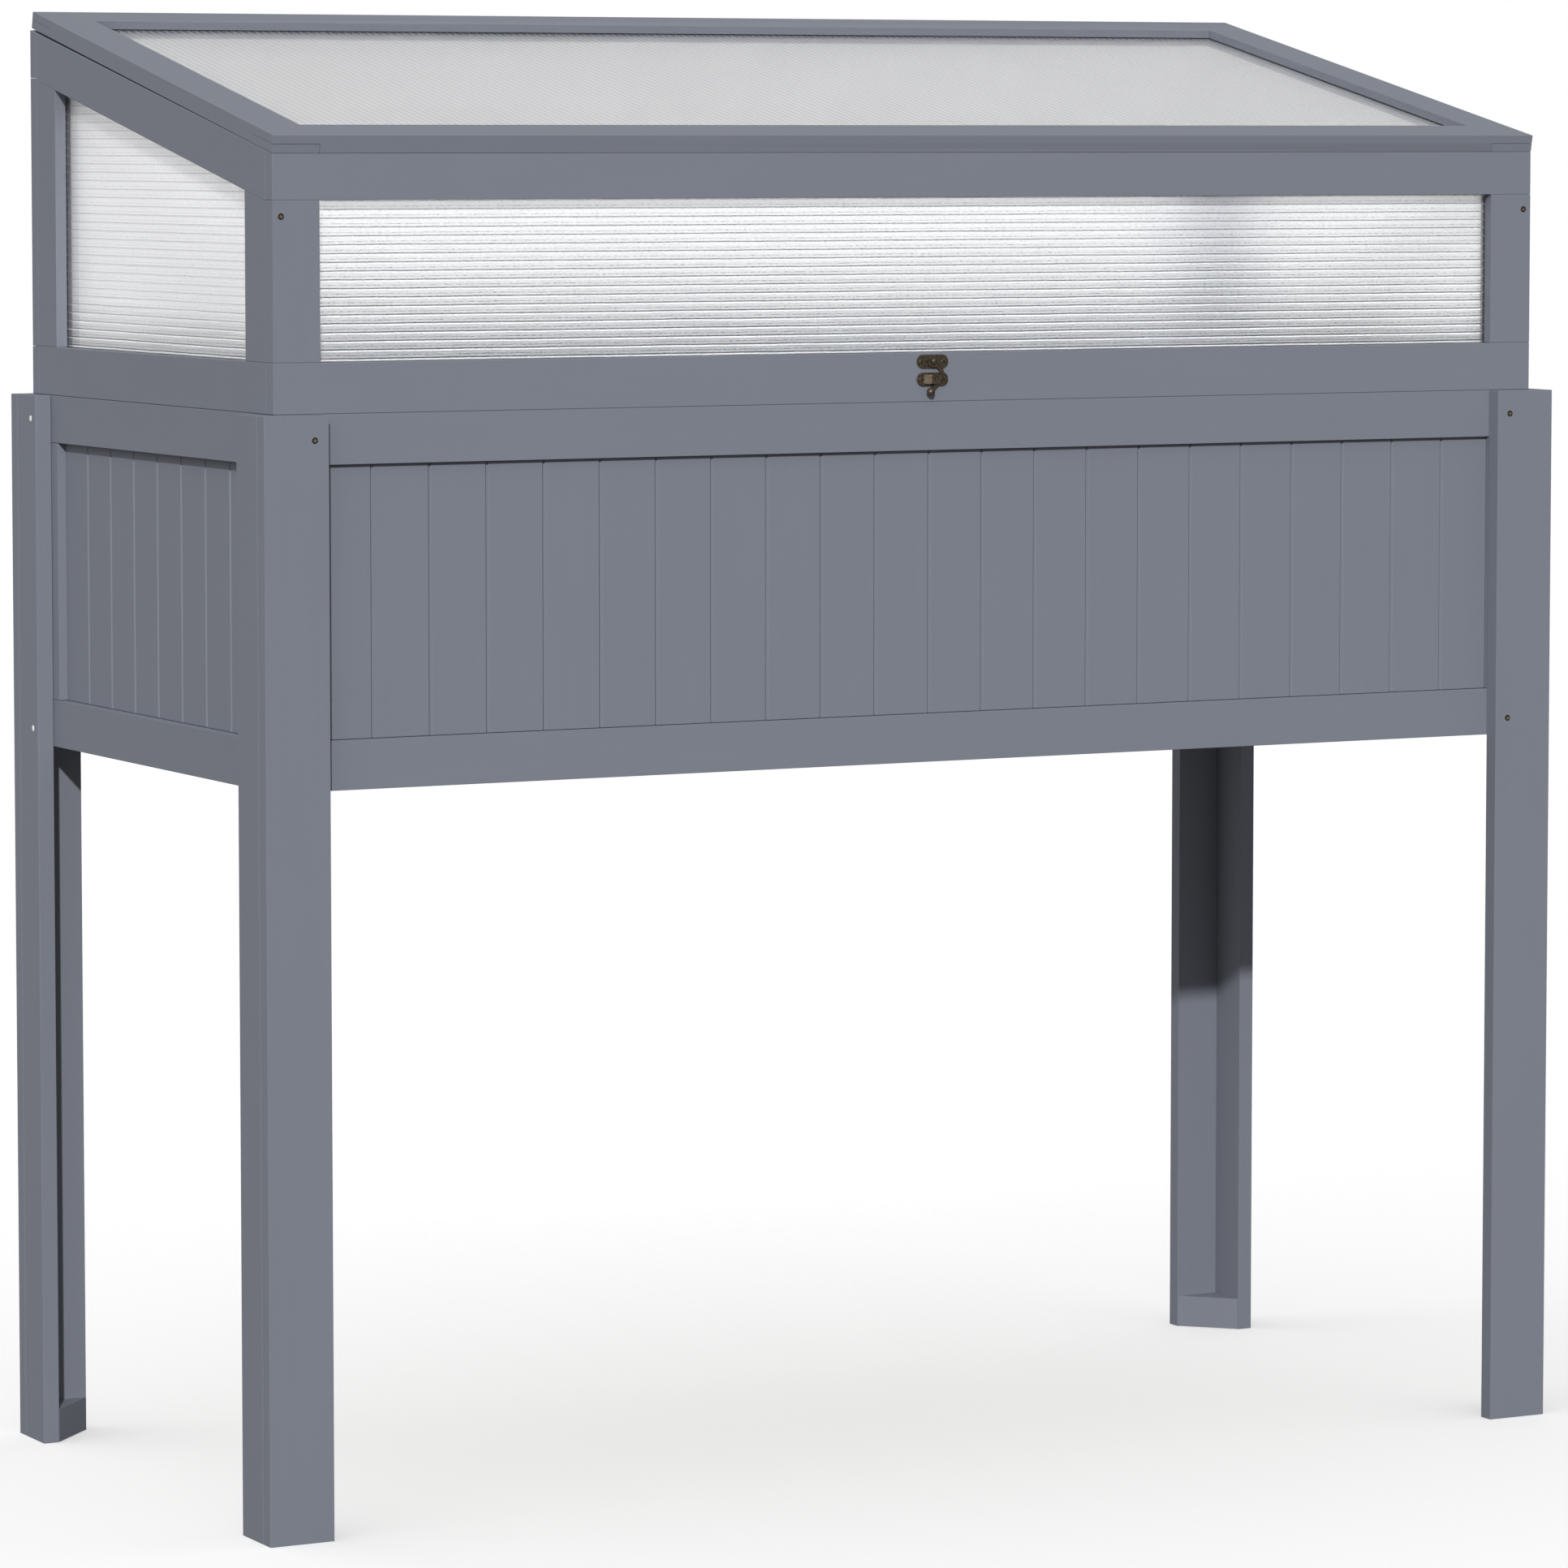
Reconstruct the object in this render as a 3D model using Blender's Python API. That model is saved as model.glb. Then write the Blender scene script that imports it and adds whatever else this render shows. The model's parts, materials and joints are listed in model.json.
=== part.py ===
"""Cold frame on legs, in metres, +Z up. The origin is on the floor at the middle of the four feet.

A timber planter box hangs between four L-section legs. A greenhouse cover of timber frames and twin-wall
sheets stands on the box and swings up on two rear hinges. Its sloping lid swings up on two more, and a
swing hook on the front rail latches the cover. +X runs to the right along the front, and the front faces -Y.
"""

from math import atan2, cos, pi, sin, tan

import bmesh
import bpy
from mathutils import Matrix, Vector

# Driving dimensions: the outside of the legs, and the timber stock
OVERALL_WIDTH = 1.200
OVERALL_DEPTH = 0.536
LEG_HEIGHT = 0.8885
BOARD = 0.014
GAP = 0.0003
WELD = 1e-6

# Legs
LEG_BOARD = 0.055
FOOT_BLOCK_HEIGHT = 0.0285

# Planter box
PLANTER_HEIGHT = 0.2955
PLANTER_RAIL = 0.0395
PLANTER_STILE = 0.040
LONG_FIELD_RECESS = 0.0048
END_FIELD_RECESS = 0.0072
GROOVE_PITCH = 0.050
GROOVE_WIDTH = 0.0030
GROOVE_DEPTH = 0.0018
LONG_LAST_GROOVE = 0.500
END_LAST_GROOVE = 0.150
FLOOR_THICKNESS = 0.009
FLOOR_RAISE = 0.004
DRAIN_GAP = 0.010

# Cover
SEAM = 0.0005
COVER_RAIL = 0.040
COVER_POST = 0.040
FRONT_EDGE_Z = 1.0919
REAR_EDGE_Z = 1.1942
FRONT_RAIL_FACE = 0.0361
SLOPING_RAIL = 0.0396

# Twin-wall sheet
SHEET = 0.004
SKIN = 0.0004
FLUTE_PITCH = 0.00687
SHEET_LAP = 0.008

# Lid
LID_FRONT_Z = 1.0922
LID_REAR_Z = 1.1965
LID_FRONT_OVERHANG = 0.0002
LID_REAR_SETBACK = 0.0036
LID_FRONT_RAIL = 0.042
LID_REAR_RAIL = 0.040
LID_STILE = 0.0403
LID_SHEET_TOP = 0.0073
LID_REBATE = 0.008

# Butt hinges
HINGE_X = 0.400
HINGE_LENGTH = 0.050
LEAF_WIDTH = 0.021
LEAF = 0.0012
KNUCKLE_R = 0.0028
BORE_R = 0.0013
PIN_R = 0.0012
ROUND_SIDES = 16

# Latch
LATCH_Z = 0.9217
LATCH_PITCH = 0.0146
PLATE_LENGTH = 0.0292
PLATE_HEIGHT = 0.0112
PLATE = 0.0010
HOOK = 0.0014
HOOK_EYE_R = 0.0050
RIVET_R = 0.0016
RIVET_HEAD_R = 0.0024
KNOB_R = 0.0035
ARM_START = 0.0015
ARM_DROP = 0.0232
ARM_BULGE = 0.0098
ARM_RETURN = 0.0036
ARM_SKEW = 0.80
ARM_HALF = 0.0017
ARM_TAPER = 0.0003
TONGUE_FOOT_X = -0.0078
TONGUE_BEND_X = -0.0026
TONGUE_TIP_X = 0.0036
TONGUE_WIDTH = 0.0076

# Derived planes
HALF_W = OVERALL_WIDTH / 2
HALF_D = OVERALL_DEPTH / 2
BOX_X = HALF_W - BOARD - GAP
BOX_Y = HALF_D - BOARD - GAP
INNER_X = BOX_X - BOARD
INNER_Y = BOX_Y - BOARD
PLANTER_BASE = LEG_HEIGHT - PLANTER_HEIGHT
FIELD_LOW = PLANTER_BASE + PLANTER_RAIL + GAP
FIELD_HIGH = LEG_HEIGHT - PLANTER_RAIL - GAP
COVER_BASE = LEG_HEIGHT + SEAM
COVER_SLOPE = atan2(REAR_EDGE_Z - FRONT_EDGE_Z, 2 * BOX_Y)
LID_SLOPE = atan2(LID_REAR_Z - LID_FRONT_Z, 2 * BOX_Y)

# Hinge axes, both just behind the rear face
PIN_Y = BOX_Y + GAP + KNUCKLE_R
COVER_PIN_Z = LEG_HEIGHT + SEAM / 2
LID_LEAF_DROP = GAP + LEAF / 2
LID_PIN_Z = LID_REAR_Z + (PIN_Y - BOX_Y) * tan(LID_SLOPE) - LID_LEAF_DROP / cos(LID_SLOPE)

# Orientations that stand a flat outline up
FACING_FRONT = (pi / 2, 0, 0)
FACING_SIDE = (pi / 2, 0, pi / 2)
FLUTES_ALONG_X = (0, -pi / 2, 0)
FLUTES_ALONG_Y = (-pi / 2, -pi / 2, 0)

# Orientations that turn a round bar from its own Z
ALONG_X = (0, pi / 2, 0)
ALONG_Y = (pi / 2, 0, 0)

PAINT = ("painted_timber", (0.200, 0.209, 0.235), 0.55, 0.0)
SHEETING = ("twin_wall_sheet", (0.86, 0.88, 0.89), 0.30, 0.0)
BRONZE = ("antique_bronze", (0.085, 0.066, 0.043), 0.38, 0.9)
PLY = ("floor_panel", (0.45, 0.33, 0.20), 0.70, 0.0)
ZINC = ("zinc_plated_steel", (0.60, 0.60, 0.58), 0.35, 0.9)


def clear_scene():
    for obj in list(bpy.data.objects):
        bpy.data.objects.remove(obj, do_unlink=True)


def make_collection(name):
    collection = bpy.data.collections.new(name)
    bpy.context.scene.collection.children.link(collection)
    return collection


def finish(obj, look):
    """Gives the object its own Principled material."""
    label, colour, roughness, metallic = look
    material = bpy.data.materials.new(f"{obj.name}_{label}")
    material.use_nodes = True
    shader = material.node_tree.nodes["Principled BSDF"]
    shader.inputs["Base Color"].default_value = (*colour, 1.0)
    shader.inputs["Roughness"].default_value = roughness
    shader.inputs["Metallic"].default_value = metallic
    obj.data.materials.append(material)


def place(name, data, look, location=(0, 0, 0), rotation=(0, 0, 0), parent=None):
    """Links a new object into the model, on the given parent's frame."""
    obj = bpy.data.objects.new(name, data)
    PARTS.objects.link(obj)
    obj.location = location
    obj.rotation_euler = rotation
    obj.parent = parent
    if look:
        finish(obj, look)
    return obj


def hide_helper(obj):
    """Puts a Boolean's operand with the other hidden helpers."""
    PARTS.objects.unlink(obj)
    CUTTERS.objects.link(obj)
    obj.hide_render = True
    obj.display_type = "WIRE"


def box_mesh(name, size):
    mesh = bpy.data.meshes.new(name)
    bm = bmesh.new()
    bmesh.ops.create_cube(bm, size=1.0)
    bmesh.ops.scale(bm, vec=size, verts=bm.verts)
    bm.to_mesh(mesh)
    bm.free()
    return mesh


def box(name, x, y, z, look, parent=None):
    """A squared board between two limits on each axis, with its origin at its middle."""
    limits = (x, y, z)
    size = [high - low for low, high in limits]
    middle = [(low + high) / 2 for low, high in limits]
    return place(name, box_mesh(name, size), look, middle, parent=parent)


def slab(name, outline, thickness, look, location=(0, 0, 0), rotation=(0, 0, 0), parent=None):
    """A flat outline in its own XY plane, thickened evenly to both sides of it."""
    curve = bpy.data.curves.new(name, "CURVE")
    curve.dimensions = "2D"
    curve.fill_mode = "BOTH"
    curve.extrude = thickness / 2
    spline = curve.splines.new("POLY")
    spline.points.add(len(outline) - 1)
    for point, (u, v) in zip(spline.points, outline):
        point.co = (u, v, 0, 1)
    spline.use_cyclic_u = True
    return place(name, curve, look, location, rotation, parent)


def as_mesh(curve_object, look):
    """A curve object as a mesh with its caps welded on, in the same place, so that it can be cut."""
    bpy.context.view_layer.update()
    graph = bpy.context.evaluated_depsgraph_get()
    mesh = bpy.data.meshes.new_from_object(curve_object.evaluated_get(graph))
    bm = bmesh.new()
    bm.from_mesh(mesh)
    bmesh.ops.remove_doubles(bm, verts=bm.verts, dist=WELD)
    bmesh.ops.recalc_face_normals(bm, faces=bm.faces)
    bm.to_mesh(mesh)
    bm.free()
    mesh.materials.clear()
    name, parent, world = curve_object.name, curve_object.parent, curve_object.matrix_world.copy()
    bpy.data.objects.remove(curve_object, do_unlink=True)
    made = place(name, mesh, look, parent=parent)
    made.matrix_world = world
    return made


def cylinder(name, radius, length, location, rotation, look=None, parent=None, sides=ROUND_SIDES):
    """A round bar along its own Z, centred on its location."""
    mesh = bpy.data.meshes.new(name)
    bm = bmesh.new()
    bmesh.ops.create_cone(
        bm, cap_ends=True, segments=sides, radius1=radius, radius2=radius, depth=length
    )
    bm.to_mesh(mesh)
    bm.free()
    return place(name, mesh, look, location, rotation, parent)


def combine(obj, others, operation):
    """Adds a Boolean for each helper, which then becomes hidden."""
    for other in others:
        if other.name in PARTS.objects:
            hide_helper(other)
        modifier = obj.modifiers.new(f"{operation.lower()}_{other.name}", "BOOLEAN")
        modifier.operation = operation
        modifier.solver = "EXACT"
        modifier.object = other


def roof(y):
    """Height of the cover frame's sloping top edge at a depth."""
    return FRONT_EDGE_Z + (y + BOX_Y) * tan(COVER_SLOPE)


def sides():
    """The two ends of the object: a word for the name and the sign of X."""
    return (("left", -1), ("right", 1))


def faces():
    """The front and the rear of the object: a word for the name and the sign of Y."""
    return (("front", -1), ("rear", 1))


def ordered(a, b):
    return (min(a, b), max(a, b))


# Legs


def make_leg(face, face_sign, side, side_sign):
    """A face board with the foot block glued to it, and the side board whose end it covers."""
    outer_x, outer_y = side_sign * HALF_W, face_sign * HALF_D
    inner_x, inner_y = side_sign * (HALF_W - LEG_BOARD), face_sign * (HALF_D - BOARD)
    block_x = side_sign * (HALF_W - BOARD - GAP)
    block_end_y = face_sign * (HALF_D - LEG_BOARD)

    board = box(
        f"{face}_{side}_leg_face_board",
        ordered(outer_x, inner_x),
        ordered(outer_y, inner_y),
        (0, LEG_HEIGHT),
        PAINT,
    )
    sunk_y = inner_y + face_sign * BOARD / 2
    corners = [
        (block_x, sunk_y),
        (block_x, block_end_y),
        (inner_x, inner_y),
        (inner_x + side_sign * BOARD / 2, sunk_y),
    ]
    height = FOOT_BLOCK_HEIGHT - GAP
    block = slab(f"{face}_{side}_foot_block", corners, height, None, (0, 0, GAP + height / 2))
    combine(board, [as_mesh(block, None)], "UNION")
    box(
        f"{face}_{side}_leg_side_board",
        ordered(outer_x, side_sign * (HALF_W - BOARD)),
        ordered(inner_y - face_sign * GAP, block_end_y),
        (0, LEG_HEIGHT),
        PAINT,
    )


def make_legs():
    for face, face_sign in faces():
        for side, side_sign in sides():
            make_leg(face, face_sign, side, side_sign)


# Planter box


def grooved_outline(half_length, thickness, last_groove):
    """Plan of a field of tongue-and-groove boards: V joints on the face at v = 0, flat at v = thickness."""
    points = [(half_length, thickness), (-half_length, thickness), (-half_length, 0)]
    count = round(2 * last_groove / GROOVE_PITCH) + 1
    for i in range(count):
        u = -last_groove + i * GROOVE_PITCH
        points.append((u - GROOVE_WIDTH / 2, 0))
        points.append((u, GROOVE_DEPTH))
        points.append((u + GROOVE_WIDTH / 2, 0))
    points.append((half_length, 0))
    return points


def make_long_panel(face, sign):
    """A planter front or rear: two rails the full width, and the boards recessed between them."""
    outer, inner = sign * BOX_Y, sign * INNER_Y
    y = ordered(outer, inner)
    box(f"planter_{face}_top_rail", (-BOX_X, BOX_X), y, (LEG_HEIGHT - PLANTER_RAIL, LEG_HEIGHT), PAINT)
    box(f"planter_{face}_bottom_rail", (-BOX_X, BOX_X), y, (PLANTER_BASE, PLANTER_BASE + PLANTER_RAIL), PAINT)
    half_length = BOX_X - PLANTER_STILE - GAP
    outline = grooved_outline(half_length, BOARD - LONG_FIELD_RECESS, LONG_LAST_GROOVE)
    slab(
        f"planter_{face}_boards",
        outline,
        FIELD_HIGH - FIELD_LOW,
        PAINT,
        (0, sign * (BOX_Y - LONG_FIELD_RECESS), (FIELD_LOW + FIELD_HIGH) / 2),
        (0, 0, 0 if sign < 0 else pi),
    )


def make_end_panel(side, sign):
    """A planter side, between the front and rear panels: rails, stiles and recessed boards."""
    end_y = INNER_Y - GAP
    x = ordered(sign * BOX_X, sign * INNER_X)
    box(f"planter_{side}_top_rail", x, (-end_y, end_y), (LEG_HEIGHT - PLANTER_RAIL, LEG_HEIGHT), PAINT)
    box(f"planter_{side}_bottom_rail", x, (-end_y, end_y), (PLANTER_BASE, PLANTER_BASE + PLANTER_RAIL), PAINT)
    for face, face_sign in faces():
        y = ordered(face_sign * end_y, face_sign * (end_y - PLANTER_STILE))
        box(f"planter_{side}_{face}_stile", x, y, (FIELD_LOW, FIELD_HIGH), PAINT)
    half_length = end_y - PLANTER_STILE - GAP
    outline = grooved_outline(half_length, BOARD - END_FIELD_RECESS, END_LAST_GROOVE)
    slab(
        f"planter_{side}_boards",
        outline,
        FIELD_HIGH - FIELD_LOW,
        PAINT,
        (sign * (BOX_X - END_FIELD_RECESS), 0, (FIELD_LOW + FIELD_HIGH) / 2),
        (0, 0, sign * pi / 2),
    )


def make_floor():
    """Two floor panels between the rails, with a drainage gap along the middle."""
    x = INNER_X - GAP
    z = PLANTER_BASE + FLOOR_RAISE
    for face, sign in faces():
        y = ordered(sign * DRAIN_GAP / 2, sign * (INNER_Y - GAP))
        box(f"floor_{face}_panel", (-x, x), y, (z, z + FLOOR_THICKNESS), PLY)


# Cover frames


def bevelled_rail(name, y_low, y_high, z_low):
    """A rail along X whose top edge follows the slope of the cover."""
    corners = [(y_low, z_low), (y_high, z_low), (y_high, roof(y_high)), (y_low, roof(y_low))]
    return as_mesh(slab(name, corners, 2 * BOX_X, None, rotation=FACING_SIDE), PAINT)


def long_opening(face):
    """The lowest and highest point of a front or rear opening."""
    top = FRONT_EDGE_Z - FRONT_RAIL_FACE if face == "front" else REAR_EDGE_Z - COVER_RAIL
    return COVER_BASE + COVER_RAIL, top


def make_cover_long_frame(face, face_sign):
    """A front or rear frame, rebated on the inside round its opening for the sheet."""
    y = ordered(face_sign * BOX_Y, face_sign * INNER_Y)
    low, high = long_opening(face)
    pieces = [
        box(f"cover_{face}_bottom_rail", (-BOX_X, BOX_X), y, (COVER_BASE, low), PAINT),
        bevelled_rail(f"cover_{face}_top_rail", *y, high),
    ]
    if face == "front":
        for side, sign in sides():
            x = ordered(sign * BOX_X, sign * (BOX_X - COVER_POST))
            pieces.append(box(f"cover_{face}_{side}_post", x, y, (low + GAP, high - GAP), PAINT))
    reach = BOX_X - COVER_POST + SHEET_LAP
    depth = ordered(face_sign * (INNER_Y + SHEET + GAP), face_sign * (INNER_Y - BOARD))
    pocket = box(f"rebate_{face}", (-reach, reach), depth, (low - SHEET_LAP, high + SHEET_LAP), None)
    for piece in pieces:
        combine(piece, [pocket], "DIFFERENCE")


def make_cover_end_frame(side, sign):
    """An end frame, rebated and set between the long ones, with its sloping rail over both posts."""
    end_y = INNER_Y - GAP
    middle = (sign * (BOX_X + INNER_X) / 2, 0, 0)
    x = ordered(sign * BOX_X, sign * INNER_X)
    bottom_top = COVER_BASE + COVER_RAIL
    pieces = [box(f"cover_{side}_bottom_rail", x, (-end_y, end_y), (COVER_BASE, bottom_top), PAINT)]
    outlines = {
        "sloping_rail": [
            (-end_y, roof(-end_y) - SLOPING_RAIL),
            (end_y, roof(end_y) - SLOPING_RAIL),
            (end_y, roof(end_y)),
            (-end_y, roof(-end_y)),
        ]
    }
    for face, face_sign in faces():
        low, high = ordered(face_sign * end_y, face_sign * (end_y - COVER_POST))
        drop = SLOPING_RAIL + GAP
        outlines[f"{face}_post"] = [
            (low, bottom_top + GAP),
            (high, bottom_top + GAP),
            (high, roof(high) - drop),
            (low, roof(low) - drop),
        ]
    for part, outline in outlines.items():
        piece = slab(f"cover_{side}_{part}", outline, BOARD, None, middle, FACING_SIDE)
        pieces.append(as_mesh(piece, PAINT))

    inner_end = (sign * (INNER_X + SHEET + GAP - BOARD / 2), 0, 0)
    rebate = slab(f"rebate_{side}", end_sheet_outline(0), BOARD, None, inner_end, FACING_SIDE)
    rebate = as_mesh(rebate, None)
    for piece in pieces:
        combine(piece, [rebate], "DIFFERENCE")


def end_sheet_outline(clearance):
    """The rebate of an end frame on YZ, or with a clearance the sheet that it holds."""
    reach = INNER_Y - GAP - COVER_POST + SHEET_LAP - clearance
    low = COVER_BASE + COVER_RAIL - SHEET_LAP + clearance
    drop = SLOPING_RAIL - SHEET_LAP + clearance
    return [(-reach, low), (reach, low), (reach, roof(reach) - drop), (-reach, roof(-reach) - drop)]


# Twin-wall sheets


def fluted_mesh(name, width, length):
    """Twin-wall sheet in section on XY, its flutes side by side along X, drawn out along Z."""
    count = int((width - SKIN) / FLUTE_PITCH)
    margin = (width - SKIN - count * FLUTE_PITCH) / 2
    columns = [-width / 2]
    for i in range(count):
        left = -width / 2 + margin + SKIN + i * FLUTE_PITCH
        columns += [left, left + FLUTE_PITCH - SKIN]
    columns.append(width / 2)
    rows = [-SHEET / 2, SKIN - SHEET / 2, SHEET / 2 - SKIN, SHEET / 2]

    cells = len(columns) - 1
    bm = bmesh.new()
    bmesh.ops.create_grid(bm, x_segments=cells, y_segments=3, size=0.5)
    flutes = []
    for face in bm.faces:
        centre = face.calc_center_median()
        column, row = int((centre.x + 0.5) * cells), int((centre.y + 0.5) * 3)
        if row == 1 and column % 2:
            flutes.append(face)
    bmesh.ops.delete(bm, geom=flutes, context="FACES")
    for vert in bm.verts:
        column, row = round((vert.co.x + 0.5) * cells), round((vert.co.y + 0.5) * 3)
        vert.co = (columns[column], rows[row], -length / 2)
    drawn = bmesh.ops.extrude_face_region(bm, geom=bm.faces[:])["geom"]
    far_end = [part for part in drawn if isinstance(part, bmesh.types.BMVert)]
    bmesh.ops.translate(bm, vec=(0, 0, length), verts=far_end)
    bmesh.ops.recalc_face_normals(bm, faces=bm.faces)
    mesh = bpy.data.meshes.new(name)
    bm.to_mesh(mesh)
    bm.free()
    return mesh


def make_long_sheet(face, sign):
    """A front or rear sheet in the rebate of its frame, with level flutes along X."""
    name = f"cover_{face}_sheet"
    low, high = long_opening(face)
    height = high - low + 2 * (SHEET_LAP - GAP)
    mesh = fluted_mesh(name, height, 2 * (BOX_X - COVER_POST + SHEET_LAP - GAP))
    middle = (0, sign * (INNER_Y + SHEET / 2), (low + high) / 2)
    place(name, mesh, SHEETING, middle, FLUTES_ALONG_X)


def make_end_sheet(side, sign):
    """An end sheet with level flutes along Y and its top edge cut to the slope."""
    name = f"cover_{side}_sheet"
    (_, z_low), (reach, _), (_, z_high), (_, front_high) = end_sheet_outline(GAP)
    middle_x = sign * (INNER_X + SHEET / 2)
    mesh = fluted_mesh(name, z_high - z_low, 2 * reach)
    sheet = place(name, mesh, SHEETING, (middle_x, 0, (z_low + z_high) / 2), FLUTES_ALONG_Y)
    fall = 2 * BOARD * tan(COVER_SLOPE)
    above = [
        (-reach - 2 * BOARD, front_high - fall),
        (reach + 2 * BOARD, z_high + fall),
        (reach + 2 * BOARD, z_high + COVER_RAIL),
        (-reach - 2 * BOARD, z_high + COVER_RAIL),
    ]
    cutter = slab(f"slope_cut_{side}", above, 2 * BOARD, None, (middle_x, 0, 0), FACING_SIDE)
    combine(sheet, [as_mesh(cutter, None)], "DIFFERENCE")


# Lid, built flat in the frame of an empty that lies on its hinge axis and tilts with the slope


def lid_limits():
    """Where the lid's front and rear edges and its underside lie in the tilted frame."""
    shift = LID_LEAF_DROP * sin(LID_SLOPE) - PIN_Y
    front = (shift - BOX_Y - LID_FRONT_OVERHANG) / cos(LID_SLOPE)
    rear = (shift + BOX_Y - LID_REAR_SETBACK) / cos(LID_SLOPE)
    return front, rear, LID_LEAF_DROP


def make_lid():
    """Two rails and two stiles half-lapped at the corners, rebated below for the sheet."""
    pivot = place("lid_pivot", None, None, (0, PIN_Y, LID_PIN_Z), (LID_SLOPE, 0, 0))
    front, rear, under = lid_limits()
    top, lap = under + BOARD, under + BOARD / 2
    opening_x = BOX_X - LID_STILE
    opening = (front + LID_FRONT_RAIL, rear - LID_REAR_RAIL)

    pocket = box(
        "lid_rebate",
        (-opening_x - LID_REBATE, opening_x + LID_REBATE),
        (opening[0] - LID_REBATE, opening[1] + LID_REBATE),
        (under - BOARD, top - LID_SHEET_TOP + GAP),
        None,
        pivot,
    )
    beyond = BOARD
    for face, y in (("front", (front, opening[0])), ("rear", (opening[1], rear))):
        rail = box(f"lid_{face}_rail", (-BOX_X, BOX_X), y, (under, top), PAINT, pivot)
        wide = (y[0] - beyond, y[1] + beyond)
        laps = []
        for side, sign in sides():
            x = ordered(sign * opening_x, sign * (BOX_X + beyond))
            laps.append(box(f"lap_{face}_{side}", x, wide, (under - beyond, lap + GAP / 2), None, pivot))
        combine(rail, [*laps, pocket], "DIFFERENCE")

    for side, sign in sides():
        x = ordered(sign * BOX_X, sign * (opening_x + GAP))
        stile = box(f"lid_{side}_stile", x, (front, rear), (under, top), PAINT, pivot)
        wide = (x[0] - beyond, x[1] + beyond)
        over_lap = (lap - GAP / 2, top + beyond)
        over_front = (front - beyond, opening[0] + GAP)
        over_rear = (opening[1] - GAP, rear + beyond)
        overs = []
        for face, y in (("front", over_front), ("rear", over_rear)):
            overs.append(box(f"over_{side}_{face}", wide, y, over_lap, None, pivot))
        combine(stile, [*overs, pocket], "DIFFERENCE")
    make_lid_sheet(pivot, under, opening_x, *opening)


def make_lid_sheet(pivot, under, opening_x, opening_front, opening_rear):
    """The lid's sheet, with its flutes running down the slope."""
    width = 2 * (opening_x + LID_REBATE - GAP)
    length = opening_rear - opening_front + 2 * (LID_REBATE - GAP)
    middle = (0, (opening_front + opening_rear) / 2, under + BOARD - LID_SHEET_TOP - SHEET / 2)
    place("lid_sheet", fluted_mesh("lid_sheet", width, length), SHEETING, middle, FACING_FRONT, pivot)


# Hinges: each leaf is built with its axis along X and its plate towards its own +Y


def hinge_leaf(name, x, pin_z, angle, offset, moving):
    """One leaf. The fixed leaf has the two outer knuckles, the moving one the middle knuckle and the pin."""
    clear = KNUCKLE_R + GAP
    leaf = place(name, box_mesh(name, (HINGE_LENGTH, LEAF_WIDTH - clear, LEAF)), ZINC)
    leaf.data.transform(Matrix.Translation((0, (LEAF_WIDTH + clear) / 2, offset)))
    leaf.location = (x, PIN_Y, pin_z)
    leaf.rotation_euler = (angle, 0, 0)

    middle_end, outer_end = HINGE_LENGTH / 6, HINGE_LENGTH / 2
    if moving:
        spans = [(-middle_end, middle_end)]
    else:
        spans = [(-outer_end, -middle_end - GAP), (middle_end + GAP, outer_end)]
    joined = []
    for i, (low, high) in enumerate(spans):
        thickness = (offset - LEAF / 2, offset + LEAF / 2)
        joined.append(box(f"{name}_tab_{i}", (low, high), (0, clear + LEAF), thickness, None, leaf))
        centre = ((low + high) / 2, 0, 0)
        joined.append(cylinder(f"{name}_knuckle_{i}", KNUCKLE_R, high - low, centre, ALONG_X, parent=leaf))
    if moving:
        joined.append(cylinder(f"{name}_pin", PIN_R, HINGE_LENGTH, (0, 0, 0), ALONG_X, parent=leaf))
    combine(leaf, joined, "UNION")
    if not moving:
        bore = cylinder(f"{name}_bore", BORE_R, 2 * HINGE_LENGTH, (0, 0, 0), ALONG_X, parent=leaf)
        combine(leaf, [bore], "DIFFERENCE")


def make_hinges():
    face_offset = PIN_Y - BOX_Y - GAP - LEAF / 2
    for side, sign in sides():
        x = sign * HINGE_X
        hinge_leaf(f"cover_hinge_{side}_planter_leaf", x, COVER_PIN_Z, -pi / 2, -face_offset, False)
        hinge_leaf(f"cover_hinge_{side}_cover_leaf", x, COVER_PIN_Z, pi / 2, face_offset, True)
        hinge_leaf(f"lid_hinge_{side}_frame_leaf", x, LID_PIN_Z, -pi / 2, -face_offset, False)
        hinge_leaf(f"lid_hinge_{side}_lid_leaf", x, LID_PIN_Z, pi + LID_SLOPE, 0, True)


# Latch


def stadium(length, height, steps=10):
    """A plate outline with round ends, in the plane of the front face."""
    radius = height / 2
    points = []
    for end in (1, -1):
        centre = end * (length / 2 - radius)
        start = -pi / 2 if end > 0 else pi / 2
        for i in range(steps + 1):
            angle = start + pi * i / steps
            points.append((centre + radius * cos(angle), radius * sin(angle)))
    return points


def hook_centre(t):
    """Centre line of the hook's arm from the eye (t = 0) to the ball (t = 1), right of the rivet."""
    bulge = sin(pi * t**ARM_SKEW)
    return (ARM_BULGE * bulge - ARM_RETURN * t, -ARM_START - ARM_DROP * t)


def hook_outline(steps=12):
    """The arm's outline: its centre line with half its width to each side."""
    left, right = [], []
    for i in range(steps + 1):
        t = i / steps
        x, z = hook_centre(t)
        ahead, behind = hook_centre(min(t + 0.02, 1)), hook_centre(max(t - 0.02, 0))
        along = Vector((ahead[0] - behind[0], ahead[1] - behind[1])).normalized()
        half = ARM_HALF - ARM_TAPER * t
        left.append((x + along.y * half, z - along.x * half))
        right.append((x - along.y * half, z + along.x * half))
    return left + right[::-1]


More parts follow.
